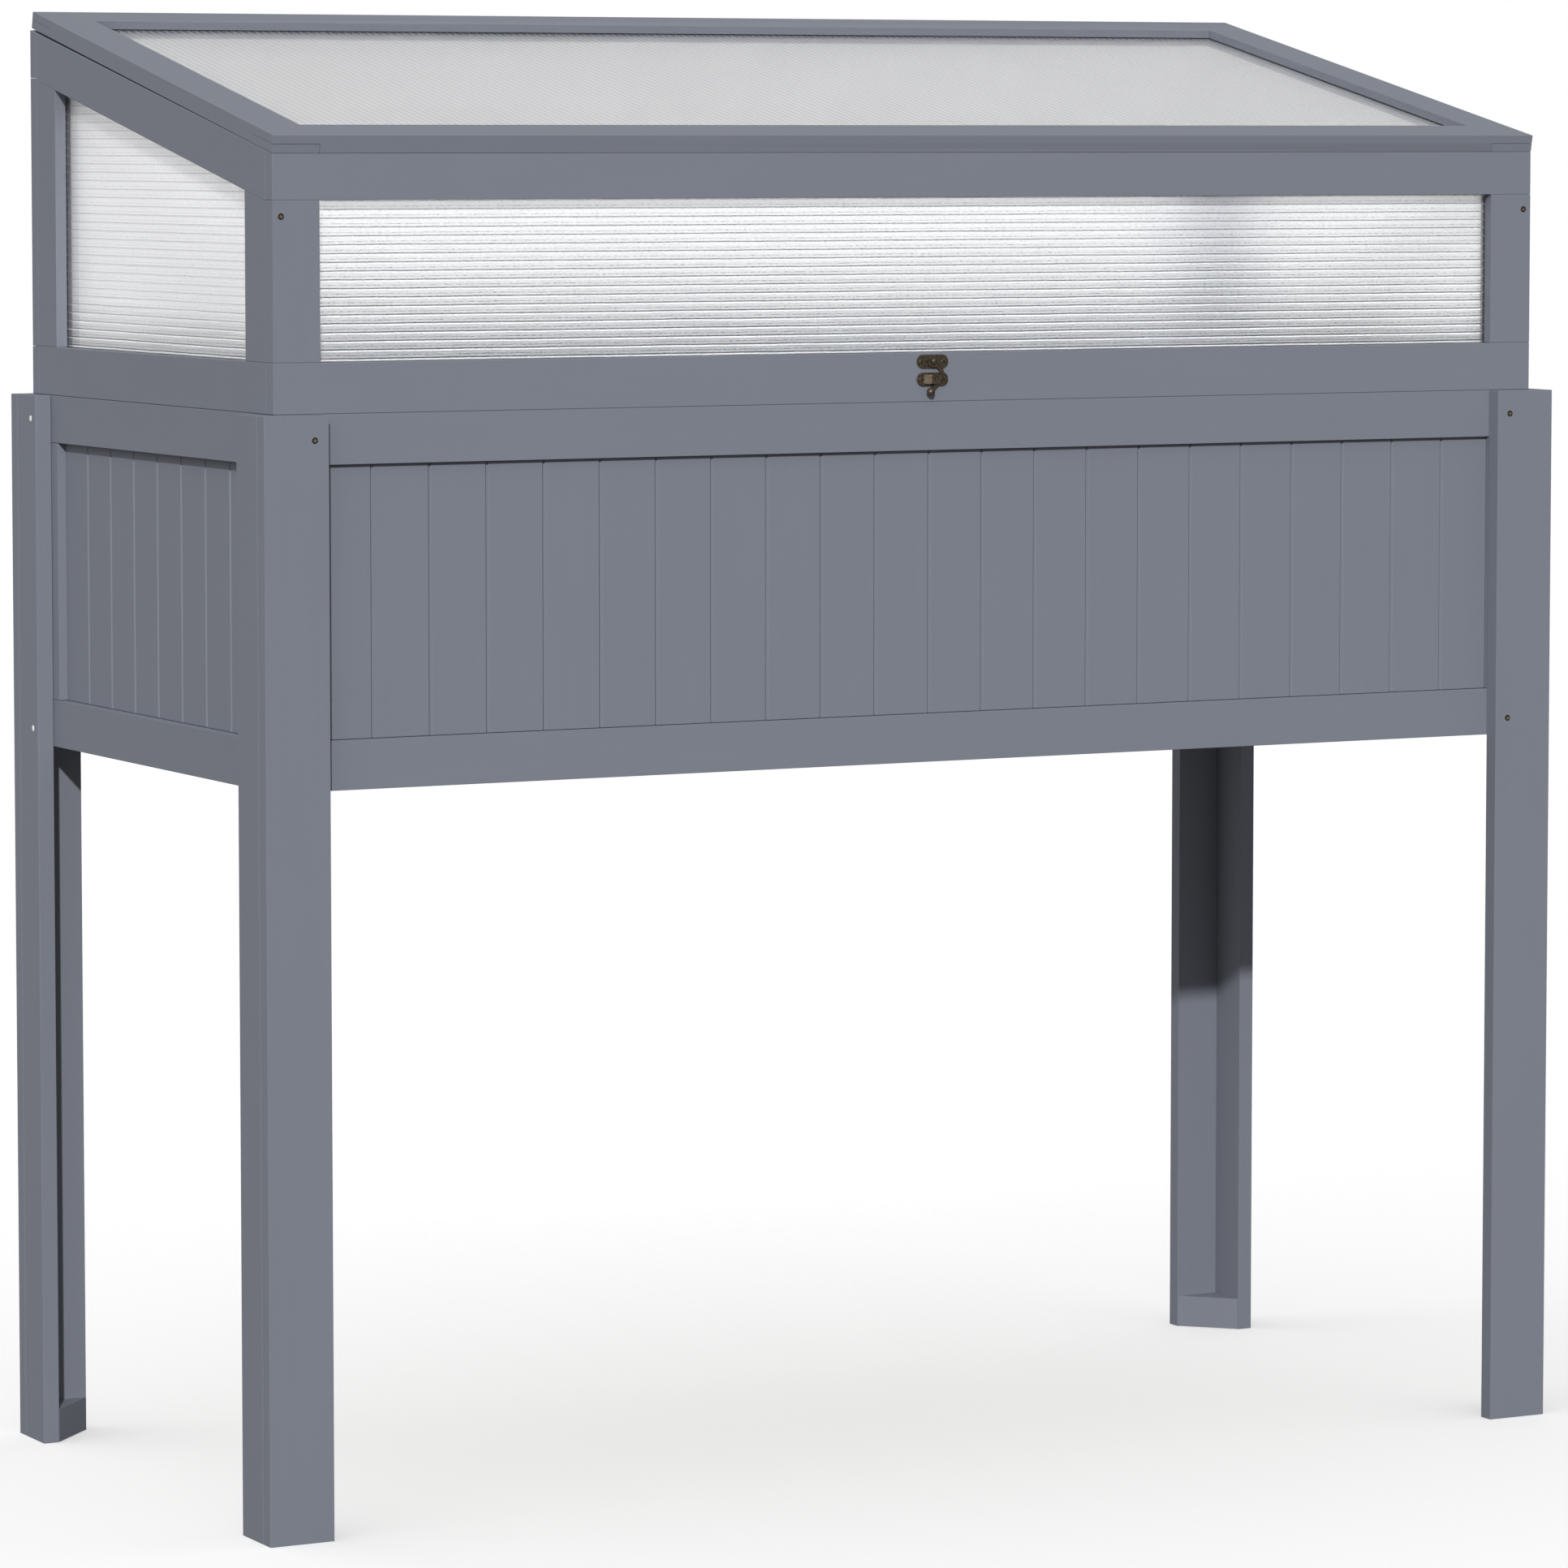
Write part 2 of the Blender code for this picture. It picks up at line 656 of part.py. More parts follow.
def make_latch():
    plate_y = -BOX_Y - GAP
    hook_y = plate_y - PLATE - GAP
    head_y = hook_y - HOOK - GAP

    plate = slab(
        "latch_hook_plate",
        stadium(PLATE_LENGTH, PLATE_HEIGHT),
        PLATE,
        BRONZE,
        (0, plate_y - PLATE / 2, LATCH_Z),
        FACING_FRONT,
    )
    plate = as_mesh(plate, BRONZE)
    post_length = plate_y - head_y + PLATE / 2
    post = cylinder("rivet_post", RIVET_R, post_length, (0, plate_y - post_length / 2, LATCH_Z), ALONG_Y)
    head = cylinder("rivet_head", RIVET_HEAD_R, PLATE, (0, head_y - PLATE / 2, LATCH_Z), ALONG_Y)
    combine(plate, [post, head], "UNION")

    hook = slab("latch_hook", hook_outline(), HOOK, BRONZE, (0, hook_y - HOOK / 2, LATCH_Z), FACING_FRONT)
    hook = as_mesh(hook, BRONZE)
    eye = cylinder("hook_eye", HOOK_EYE_R, HOOK, (0, hook_y - HOOK / 2, LATCH_Z), ALONG_Y, sides=24)
    knob_x, knob_z = hook_centre(1)
    knob = place(
        "hook_knob", ball_mesh("hook_knob", KNOB_R), None,
        (knob_x, hook_y - KNOB_R + GAP / 2, LATCH_Z + knob_z),
    )
    combine(hook, [eye, knob], "UNION")
    hole = cylinder("hook_hole", RIVET_R + GAP, 4 * HOOK, (0, hook_y, LATCH_Z), ALONG_Y)
    combine(hook, [hole], "DIFFERENCE")
    make_catch(plate_y, head_y)


def ball_mesh(name, radius):
    mesh = bpy.data.meshes.new(name)
    bm = bmesh.new()
    bmesh.ops.create_uvsphere(bm, u_segments=16, v_segments=10, radius=radius)
    bm.to_mesh(mesh)
    bm.free()
    return mesh


def make_catch(plate_y, tongue_y):
    """The lower plate, whose tongue rises from the left and stands open to the right."""
    z = LATCH_Z - LATCH_PITCH
    catch = slab(
        "latch_catch_plate",
        stadium(PLATE_LENGTH, PLATE_HEIGHT),
        PLATE,
        BRONZE,
        (0, plate_y - PLATE / 2, z),
        FACING_FRONT,
    )
    catch = as_mesh(catch, BRONZE)
    sunk = plate_y - PLATE / 2
    face = tongue_y - GAP
    strip = [
        (TONGUE_FOOT_X - PLATE, sunk),
        (TONGUE_FOOT_X + PLATE, sunk),
        (TONGUE_BEND_X + PLATE / 2, face),
        (TONGUE_TIP_X, face),
        (TONGUE_TIP_X, face - PLATE),
        (TONGUE_BEND_X, face - PLATE),
    ]
    tongue = slab("catch_tongue", strip, TONGUE_WIDTH, None, (0, 0, z))
    combine(catch, [as_mesh(tongue, None)], "UNION")


clear_scene()
PARTS = make_collection("cold_frame")
CUTTERS = make_collection("cutters")
make_legs()
for panel_face, panel_sign in faces():
    make_long_panel(panel_face, panel_sign)
    make_cover_long_frame(panel_face, panel_sign)
    make_long_sheet(panel_face, panel_sign)
for panel_side, panel_sign in sides():
    make_end_panel(panel_side, panel_sign)
    make_cover_end_frame(panel_side, panel_sign)
    make_end_sheet(panel_side, panel_sign)
make_floor()
make_lid()
make_hinges()
make_latch()
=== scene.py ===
"""Looks, light and camera for the cold frame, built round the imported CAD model.

Lengths are in metres. The object's front faces -Y.
"""

import json
from math import cos, pi, radians, sin

import bmesh
import bpy
from mathutils import Matrix, Vector


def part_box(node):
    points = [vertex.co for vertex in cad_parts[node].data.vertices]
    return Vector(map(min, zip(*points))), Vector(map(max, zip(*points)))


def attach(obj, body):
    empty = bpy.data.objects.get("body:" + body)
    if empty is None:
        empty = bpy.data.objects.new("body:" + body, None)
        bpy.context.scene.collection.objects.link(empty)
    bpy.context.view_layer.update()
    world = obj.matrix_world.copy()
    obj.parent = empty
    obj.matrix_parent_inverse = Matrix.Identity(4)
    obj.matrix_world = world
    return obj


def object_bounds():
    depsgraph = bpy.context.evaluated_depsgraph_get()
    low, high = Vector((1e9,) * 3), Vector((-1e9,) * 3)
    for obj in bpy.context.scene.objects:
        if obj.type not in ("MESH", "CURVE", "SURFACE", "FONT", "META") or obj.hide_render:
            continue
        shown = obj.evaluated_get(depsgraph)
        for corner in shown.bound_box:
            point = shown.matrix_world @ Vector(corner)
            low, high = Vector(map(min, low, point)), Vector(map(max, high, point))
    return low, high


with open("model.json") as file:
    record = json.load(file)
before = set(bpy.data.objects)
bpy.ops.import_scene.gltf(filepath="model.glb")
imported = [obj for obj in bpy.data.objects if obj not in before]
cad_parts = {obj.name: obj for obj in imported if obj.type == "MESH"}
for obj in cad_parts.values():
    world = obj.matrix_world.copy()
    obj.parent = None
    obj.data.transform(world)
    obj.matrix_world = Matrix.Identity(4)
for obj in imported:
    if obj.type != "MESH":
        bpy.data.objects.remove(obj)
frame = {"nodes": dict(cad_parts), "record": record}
NODES = frame["nodes"]
CAD_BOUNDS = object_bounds()

X, Y, Z = range(3)
SIDES = (("left", -1), ("right", 1))
FRONT = (0, -1, 0)

# Softened edges. A corner is the angle in degrees above which an edge is softened.
ARRIS = 0.0004
SMALL_ARRIS = 0.00025
TIMBER_CORNER = 35
METAL_CORNER = 14
ARRIS_STEPS = 2
ARRIS_PROFILE = 0.6
WELD_DISTANCE = 0.00001

# Gaps between pieces, and the twin-wall sheets' own sizes
GAP = 0.0003
SHEET = 0.004
SHEET_LAP = 0.008
SKIN = 0.0004
FLUTE_PITCH = 0.00687

# Screws, caps and the latch's rivet
HEAD_HEIGHT = 0.00025
TIMBER_HEAD = 0.0026
LATCH_HEAD = 0.0019
HINGE_HEAD = 0.0021
CAP_RADIUS = 0.0026
RIVET_RADIUS = 0.0024
RIVET_HEIGHT = 0.0010
SCREW_LEVELS = {"top": 0.869, "bottom": 0.608}
LEG_SCREW_OUT = 0.557
LEG_CAP_BACK = 0.224
POST_SCREW_OUT = 0.5785
POST_SCREW_UP = 1.043
POST_SCREW_TURN = 0.3
NO_LEG_SCREW = ("front", "left", "bottom")
LATCH_PLATE = 0.0010
LATCH_SCREW_IN = 0.0042
HINGE_LEAF = 0.0012
HINGE_SCREW_FROM_PIN = 0.012
HINGE_SCREW_OUT = 0.016

# A screw head's flat top and its recess (arm length, half width), as parts of its radius, and their heights
HEAD_TOP = 0.88
HEAD_RIM_UP = 0.5
RECESS_MOUTH = (0.62, 0.15)
RECESS_FLOOR = (0.56, 0.11)
RECESS_FLOOR_UP = 0.15

# Paint in the joints: its inset from the timber's edges, and what part of the gap it fills
RAIL_PAINT_INSET = 0.0006
RAIL_PAINT_FILL = 0.8
SEAM_PAINT_FILL = (0.1, 0.9)

# Paint, and the spread of noise that isn't stretched
PAINT_COLOUR = (0.189, 0.203, 0.2435)
EVEN = (1, 1, 1)

# Lines across each flute: the middle and the half width, as parts of the pitch. The glint line is a painted
# highlight, and the tooth line gives the painted lap shade its teeth.
STRONG_RIB = (0.34, 0.095)
WEAK_RIB = (0.70, 0.065)
GLINT_RIB = (0.17, 0.10)
TOOTH_RIB = (0.34, 0.16)

# How the sheets look. The scales of waves and dashes are over the flutes and along them.
WAVE = 0.0009
WAVE_SCALE = (60.0, 16.0)
DASH_SCALE = (1100.0, 300.0)
DASH_RANGE = (0.36, 0.62)
STRONG_LINE = 1.0
STRONG_LINE_BROKEN = 0.6
WEAK_LINE = 0.80
SPECKS = 2.0
SPECKS_FROM = 0.50
# Painted highlight: how much less light the glint lines let through
GLINT = 0.50
# Painted shade on the sheets' inner skin, darkest at the foot
FOOT_SHADE = 0.20
# Painted shade over each sheet's lap, for the timber's shade: its tone, its reach past the lap at the
# flutes' ends, and its teeth
LAP_SHADE_TONE = 0.62
LAP_SHADE_REACH = 0.0012
LAP_SHADE_TOOTH = 0.0012
LINE_COLOUR = (0.09, 0.095, 0.105, 1)
FROST = 0.45
CLEAR = 0.04
SHEET_IOR = 1.15
SHEET_SHADOW = (0.90, 0.905, 0.91, 1)

# across is the axis over the flutes. strength is the lines' tone, which rises to full towards the foot as
# painted shade.
# white is each sheet's base colour, set sheet by sheet: the lid's lower white is painted shade
LONG_SHEET = dict(across=Z, strength=0.72, see_through=0.86, foot=0.14, white=0.980)
SIDE_SHEET = dict(across=Z, strength=0.46, see_through=0.84, foot=0.05, white=0.982)
LID_SHEET = dict(across=X, strength=0.60, see_through=0.90, foot=0.0, white=0.930)
SHEET_LOOKS = {
    "cover_front_sheet": LONG_SHEET,
    "cover_rear_sheet": LONG_SHEET,
    "cover_left_sheet": SIDE_SHEET,
    "cover_right_sheet": SIDE_SHEET,
    "lid_sheet": LID_SHEET,
}

# Camera. It looks down by the pitch and to the right by the turn, both in degrees.
CAMERA_PLACE = Vector((-2.68984, -5.09909, 1.10488))
CAMERA_PITCH = 4.4064
CAMERA_TURN = 27.7849
CAMERA_LENS = 155.492
CAMERA_SENSOR = 36
CAMERA_SHIFT = -0.08
CAMERA_REACH = 200

# Light
KEY_TRAVEL = Vector((0.515, 1.0, -0.557)).normalized()
KEY_STRENGTH = 0.835
KEY_SPREAD = 1.5
FILL_ROUND = 0.09
FILL_ABOVE = 0.60
FILL_LEFT = 0.53
FLOOR_SIZE = 60
FLOOR_SEEN = (0.92, 0.92, 0.92, 1)
FLOOR_BOUNCE = (0.36, 0.36, 0.36, 1)
FLOOR_GLOW = 0.46
BOUNCES = 24
CLEAR_BOUNCES = 32


# Shader nodes


def new_material(name):
    material = bpy.data.materials.new(name)
    material.use_nodes = True
    tree = material.node_tree
    return material, tree, tree.nodes["Principled BSDF"]


def add(tree, kind, **settings):
    """A shader node, with its settings and the values of its unlinked inputs."""
    node = tree.nodes.new(kind)
    for key, value in settings.items():
        if key.startswith("in_"):
            node.inputs[key[3:].replace("_", " ")].default_value = value
        else:
            setattr(node, key, value)
    return node


def maths(tree, operation, *values):
    """A maths node on sockets and plain numbers, and its result."""
    node = add(tree, "ShaderNodeMath", operation=operation)
    for socket, value in zip(node.inputs, values):
        if isinstance(value, (int, float)):
            socket.default_value = value
        else:
            tree.links.new(value, socket)
    return node.outputs[0]


def mapped(tree, value, start, end, at_start, at_end):
    """The value, clamped to start and end and mapped onto at_start and at_end."""
    node = add(tree, "ShaderNodeMapRange")
    for socket, number in zip(list(node.inputs)[1:5], (start, end, at_start, at_end)):
        socket.default_value = number
    tree.links.new(value, node.inputs["Value"])
    return node.outputs["Result"]


def along_vector(tree, where, vector):
    """Distance of a place along a vector."""
    node = add(tree, "ShaderNodeVectorMath", operation="DOT_PRODUCT")
    tree.links.new(where, node.inputs[0])
    node.inputs[1].default_value = vector
    return node.outputs["Value"]


def noise(tree, spread, **settings):
    """Noise over object coordinates that are scaled by the spread on each axis."""
    where = add(tree, "ShaderNodeTexCoord")
    mapping = add(tree, "ShaderNodeMapping", in_Scale=spread)
    tree.links.new(where.outputs["Object"], mapping.inputs["Vector"])
    node = add(tree, "ShaderNodeTexNoise", **settings)
    tree.links.new(mapping.outputs["Vector"], node.inputs["Vector"])
    return node.outputs["Fac"]


def ramp(tree, fac, stops):
    node = add(tree, "ShaderNodeValToRGB")
    while len(node.color_ramp.elements) > 1:
        node.color_ramp.elements.remove(node.color_ramp.elements[0])
    for i, (place, colour) in enumerate(stops):
        element = node.color_ramp.elements[0] if i == 0 else node.color_ramp.elements.new(place)
        element.position = place
        element.color = (*colour, 1)
    tree.links.new(fac, node.inputs["Fac"])
    return node.outputs["Color"]


def bump(tree, height, strength, distance, over=None):
    """The normal of a bumpy surface, laid over another normal if one is given."""
    node = add(tree, "ShaderNodeBump", in_Strength=strength, in_Distance=distance)
    tree.links.new(height, node.inputs["Height"])
    if over is not None:
        tree.links.new(over, node.inputs["Normal"])
    return node.outputs["Normal"]


def grey(value):
    return (value, value, value)


def tint(colour, factor):
    return tuple(c * factor for c in colour)


# Materials


def paint_material(axis):
    """Matt wood paint over a fine grain that runs along the given axis."""
    material, tree, shader = new_material(f"painted_timber_{'xyz'[axis]}")
    link = tree.links.new
    along, across = 6.0, 260.0
    spread = [across] * 3
    spread[axis] = along
    grain = noise(tree, spread, in_Scale=1.0, in_Detail=5.0, in_Roughness=0.6)
    mottle = noise(tree, EVEN, in_Scale=9.0, in_Detail=3.0, in_Roughness=0.55)
    stipple = noise(tree, EVEN, in_Scale=900.0, in_Detail=2.0, in_Roughness=0.5)

    broad = ramp(tree, mottle, [(0.3, tint(PAINT_COLOUR, 0.992)), (0.7, tint(PAINT_COLOUR, 1.008))])
    fine = ramp(tree, grain, [(0.25, grey(0.985)), (0.6, grey(1.0)), (0.9, grey(1.008))])
    blend = add(tree, "ShaderNodeMix", data_type="RGBA", blend_type="MULTIPLY")
    blend.inputs[0].default_value = 1.0
    link(broad, blend.inputs[6])
    link(fine, blend.inputs[7])
    link(blend.outputs[2], shader.inputs["Base Color"])
    link(mapped(tree, grain, 0.0, 1.0, 0.52, 0.66), shader.inputs["Roughness"])
    deep = bump(tree, grain, strength=0.03, distance=0.0004)
    link(bump(tree, stipple, strength=0.12, distance=0.0002, over=deep), shader.inputs["Normal"])
    shader.inputs["Specular IOR Level"].default_value = 0.35
    return material


def metal_material(name, colour, worn, roughness):
    """Plated metal that varies in clouds from its own colour to a worn, lighter one."""
    material, tree, shader = new_material(name)
    link = tree.links.new
    cloud = noise(tree, EVEN, in_Scale=420.0, in_Detail=4.0, in_Roughness=0.6)
    link(ramp(tree, cloud, [(0.35, colour), (0.75, worn)]), shader.inputs["Base Color"])
    link(mapped(tree, cloud, 0.0, 1.0, roughness - 0.06, roughness + 0.10), shader.inputs["Roughness"])
    link(bump(tree, cloud, strength=0.15, distance=0.0002), shader.inputs["Normal"])
    shader.inputs["Metallic"].default_value = 0.9
    return material


def cap_material():
    """White moulded plastic with a faint orange-peel surface."""
    material, tree, shader = new_material("screw_cap")
    link = tree.links.new
    peel = noise(tree, EVEN, in_Scale=700.0, in_Detail=2.0)
    link(ramp(tree, peel, [(0.3, grey(0.90)), (0.7, grey(0.96))]), shader.inputs["Base Color"])
    link(bump(tree, peel, strength=0.1, distance=0.0001), shader.inputs["Normal"])
    shader.inputs["Roughness"].default_value = 0.35
    return material


def ply_material():
    """Unpainted plywood with its grain along the panel's length."""
    material, tree, shader = new_material("floor_panel")
    link = tree.links.new
    grain = noise(
        tree, (3.0, 55.0, 55.0), in_Scale=1.0, in_Detail=6.0, in_Roughness=0.65, in_Distortion=0.4
    )
    dark, middling, light = (0.30, 0.19, 0.10), (0.47, 0.33, 0.20), (0.58, 0.44, 0.29)
    link(ramp(tree, grain, [(0.30, dark), (0.5, middling), (0.75, light)]), shader.inputs["Base Color"])
    link(bump(tree, grain, strength=0.25, distance=0.0005), shader.inputs["Normal"])
    shader.inputs["Roughness"].default_value = 0.72
    return material


def rib_line(tree, phase, rib):
    """1 over the middle third of a line across each flute pitch, falling to 0 at its edges."""
    place, half_width = rib
    away = maths(tree, "ABSOLUTE", maths(tree, "SUBTRACT", phase, place))
    return mapped(tree, away, half_width / 3, half_width, 1.0, 0.0)


def main_normal(name):
    """The normal of a node's largest face."""
    return max(NODES[name].data.polygons, key=lambda polygon: polygon.area).normal


def sheet_edges(name, thin, across, along):
    """The sheet's four sides: a normal into the sheet, a corner, and whether the side cuts the flutes."""
    points = [vertex.co for vertex in NODES[name].data.vertices]
    ends = [pick(point[along] for point in points) for pick in (min, max)]
    corners = []
    for end in ends:
        levels = [point[across] for point in points if abs(point[along] - end) < SHEET_LAP / 8]
        for pick in (min, max):
            corner = Vector((0, 0, 0))
            corner[along], corner[across], corner[thin] = end, pick(levels), points[0][thin]
            corners.append(corner)
    middle = sum(corners, Vector((0, 0, 0))) / 4
    sides = []
    for first, second in ((0, 1), (2, 3), (0, 2), (1, 3)):
        edge = corners[second] - corners[first]
        inward = edge.cross(Vector([float(axis == thin) for axis in range(3)])).normalized()
        inward = inward if (middle - corners[first]).dot(inward) > 0 else -inward
        sides.append((inward, corners[first], first + 1 == second))
    return sides


def sheet_lines(tree, phase, dashes, foot_shade_mask, glint, strength):
    """The tone of the lines and specks on a sheet's inner skin.

    Towards the foot of the sheet the lines deepen and the skin darkens: painted shade for the dark inside of
    the planter that the ribs pick up there.
    """
    broken = mapped(tree, dashes, *DASH_RANGE, 0.0, 1.0)
    tone = maths(tree, "MULTIPLY_ADD", foot_shade_mask, 1.0 - strength, strength)
    strong = maths(tree, "MULTIPLY", rib_line(tree, phase, STRONG_RIB), STRONG_LINE)
    strong = maths(tree, "MULTIPLY", strong, mapped(tree, broken, 0.0, 1.0, STRONG_LINE_BROKEN, 1.0))
    weak = maths(tree, "MULTIPLY", rib_line(tree, phase, WEAK_RIB), WEAK_LINE)
    weak = maths(tree, "MULTIPLY", weak, broken)
    lines = maths(tree, "MULTIPLY", maths(tree, "MAXIMUM", strong, weak), tone)
    specks = maths(tree, "MULTIPLY", maths(tree, "SUBTRACT", dashes, SPECKS_FROM), SPECKS)
    lines = maths(tree, "ADD", lines, maths(tree, "MAXIMUM", specks, 0.0))
    # Painted shade: the skin darkens towards the foot, except on the glint lines
    shade = maths(tree, "MULTIPLY", maths(tree, "SUBTRACT", 1.0, glint), foot_shade_mask)
    return maths(tree, "MULTIPLY_ADD", shade, FOOT_SHADE, lines)


def lap_shade_tone(tree, where, phase, edges):
    """Painted shade over the timber's lap and at the flutes' ends, where the ribs bite in: a dark band for
    the timber's shade on the sheet.
    """
    teeth = maths(tree, "MULTIPLY", rib_line(tree, phase, TOOTH_RIB), LAP_SHADE_TOOTH)
    in_lap_shade = 0.0
    for inward, corner, cuts_flutes in edges:
        inside = along_vector(tree, where, inward)
        inside = maths(tree, "SUBTRACT", inside, inward.dot(corner) + SHEET_LAP)
        if cuts_flutes:
            inside = maths(tree, "SUBTRACT", maths(tree, "ADD", inside, teeth), LAP_SHADE_REACH)
        in_lap_shade = maths(tree, "MAXIMUM", in_lap_shade, maths(tree, "LESS_THAN", inside, 0.0))
    return maths(tree, "MULTIPLY", in_lap_shade, LAP_SHADE_TONE)


def sheet_material(name, across, strength, see_through, foot, white):
    """Twin-wall sheet: a clear outer skin, frosted ribs, and a frosted inner skin with lines at each rib."""
    material, tree, shader = new_material(name)
    link = tree.links.new
    low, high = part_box(name)
    facing = main_normal(name)
    thin = max(range(3), key=lambda axis: abs(facing[axis]))
    along = X + Y + Z - across - thin
    middle = (low + high) / 2
    centre = (CAD_BOUNDS[0] + CAD_BOUNDS[1]) / 2
    outward = facing if (middle - centre).dot(facing) > 0 else -facing

    coordinates = add(tree, "ShaderNodeTexCoord")
    where = coordinates.outputs["Object"]
    split = add(tree, "ShaderNodeSeparateXYZ")
    link(where, split.inputs["Vector"])

    # Place within each flute pitch, from 0 to 1, along ribs that wander a little
    spread = [0.0] * 3
    spread[across], spread[along] = WAVE_SCALE
    wave = noise(tree, spread, in_Scale=1.0, in_Detail=4.0)
    place = maths(tree, "MULTIPLY_ADD", wave, WAVE, split.outputs["XYZ"[across]])
    phase = maths(tree, "SUBTRACT", place, low[across] + SHEET_LAP - GAP + WAVE / 2)
    phase = maths(tree, "FRACT", maths(tree, "DIVIDE", phase, FLUTE_PITCH))

    spread[across], spread[along] = DASH_SCALE
    dashes = noise(tree, spread, in_Scale=1.0, in_Detail=3.0, in_Roughness=0.8)
    # Painted shade towards the sheet's foot, where the lines deepen and the skin darkens
    foot_shade_mask = 0.0
    if foot:
        foot_shade_mask = mapped(tree, split.outputs["Z"], low.z + SHEET_LAP, low.z + foot, 1.0, 0.0)
    # Painted highlight: white lines under the strong lines near the foot, spared the painted foot shade
    glint = maths(tree, "MULTIPLY", rib_line(tree, phase, GLINT_RIB), foot_shade_mask)
    ink = sheet_lines(tree, phase, dashes, foot_shade_mask, glint, strength)

    # Distance outwards from the sheet's middle plane tells the two skins and the ribs apart.
    off_middle = maths(tree, "SUBTRACT", along_vector(tree, where, outward), middle.dot(outward))
    skin_starts = SHEET / 2 - 1.1 * SKIN
    inner_skin = maths(tree, "LESS_THAN", off_middle, -skin_starts)
    outer_skin = maths(tree, "GREATER_THAN", off_middle, skin_starts)
    ink = maths(tree, "MULTIPLY", ink, inner_skin)
    # Painted shade of the timber over the sheet's lap, on every face of the sheet
    lap_shade = lap_shade_tone(tree, where, phase, sheet_edges(name, thin, across, along))
    ink = maths(tree, "MINIMUM", maths(tree, "MAXIMUM", ink, lap_shade), 1.0)

    base = add(tree, "ShaderNodeMix", data_type="RGBA")
    link(ink, base.inputs[0])
    base.inputs[6].default_value = (white, white, white * 1.002, 1)
    base.inputs[7].default_value = LINE_COLOUR
    link(base.outputs[2], shader.inputs["Base Color"])
    # The glint lines let less light through and so show white: painted highlight
    frosted = maths(tree, "MULTIPLY_ADD", glint, -GLINT, see_through)
    link(maths(tree, "MAXIMUM", frosted, outer_skin), shader.inputs["Transmission Weight"])
    link(mapped(tree, outer_skin, 0.0, 1.0, FROST, CLEAR), shader.inputs["Roughness"])
    shader.inputs["IOR"].default_value = SHEET_IOR

    # The sheet lets light through to what is behind it, and so casts only a faint shadow.
    rays = add(tree, "ShaderNodeLightPath")
    clear = add(tree, "ShaderNodeBsdfTransparent", in_Color=SHEET_SHADOW)
    mix = add(tree, "ShaderNodeMixShader")
    link(rays.outputs["Is Shadow Ray"], mix.inputs["Fac"])
    link(shader.outputs["BSDF"], mix.inputs[1])
    link(clear.outputs["BSDF"], mix.inputs[2])
    link(mix.outputs["Shader"], tree.nodes["Material Output"].inputs["Surface"])
    return material


PAINTS = [paint_material(axis) for axis in (X, Y, Z)]
BRONZE = metal_material("antique_bronze", (0.082, 0.064, 0.045), (0.205, 0.165, 0.118), 0.46)
SCREW_BRONZE = metal_material("screw_bronze", (0.042, 0.031, 0.020), (0.085, 0.063, 0.040), 0.50)
WORN_BRONZE = metal_material("worn_bronze", (0.34, 0.30, 0.24), (0.46, 0.42, 0.36), 0.45)
CAP_PLASTIC = cap_material()
ZINC = metal_material("zinc_plated_steel", (0.50, 0.50, 0.48), (0.66, 0.66, 0.64), 0.34)
PLY = ply_material()


def dress(obj, material, arris=None, corner=TIMBER_CORNER):
    """Gives a CAD node its material, and softens its arrises without touching its mesh."""
    if not obj.material_slots:
        obj.data.materials.append(material)
    for slot in obj.material_slots:
        slot.material = material
    if arris:
        weld = obj.modifiers.new("weld", "WELD")
        weld.merge_threshold = WELD_DISTANCE
        bevel = obj.modifiers.new("arris", "BEVEL")
        bevel.width = arris
        bevel.segments = ARRIS_STEPS
        bevel.limit_method = "ANGLE"
        bevel.angle_limit = radians(corner)
        bevel.use_clamp_overlap = True


def grain_axis(name):
    """The axis along which a timber piece's grain runs."""
    upright = any(word in name for word in ("leg_", "post", "_boards"))
    if upright or ("planter" in name and "stile" in name):
        return Z
    if "left" in name or "right" in name:
        return Y
    return X


for node_name, node in NODES.items():
    if node_name in SHEET_LOOKS:
        dress(node, sheet_material(node_name, **SHEET_LOOKS[node_name]))
    elif "hinge" in node_name:
        dress(node, ZINC, SMALL_ARRIS, METAL_CORNER)
    elif node_name.startswith("latch"):
        dress(node, BRONZE, SMALL_ARRIS, METAL_CORNER)
    elif node_name.startswith("floor"):
        dress(node, PLY, SMALL_ARRIS)
    else:
        dress(node, PAINTS[grain_axis(node_name)], ARRIS)


# Added timber and paint


def painted_piece(name, bm, material, body):
    """A visual piece of painted timber or paint from a finished bmesh."""
    mesh = bpy.data.meshes.new(name)
    bm.to_mesh(mesh)
    bm.free()
    mesh.materials.append(material)
    obj = bpy.data.objects.new(name, mesh)
    bpy.context.scene.collection.objects.link(obj)
    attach(obj, body)


def soften(bm, arris):
    bmesh.ops.bevel(
        bm, geom=bm.edges[:], offset=arris, segments=ARRIS_STEPS, affect="EDGES", profile=ARRIS_PROFILE
    )


def band(bm, lower, upper):
    """Faces between two loops of as many points."""
    count = len(lower)
    nexts = [(i, (i + 1) % count) for i in range(count)]
    return [bm.faces.new((lower[i], lower[j], upper[j], upper[i])) for i, j in nexts]


def prism(bm, lower, upper):
    """A closed solid between two loops of as many points."""
    band(bm, lower, upper)
    bm.faces.new(lower[::-1])
    bm.faces.new(upper)
    bmesh.ops.recalc_face_normals(bm, faces=bm.faces)


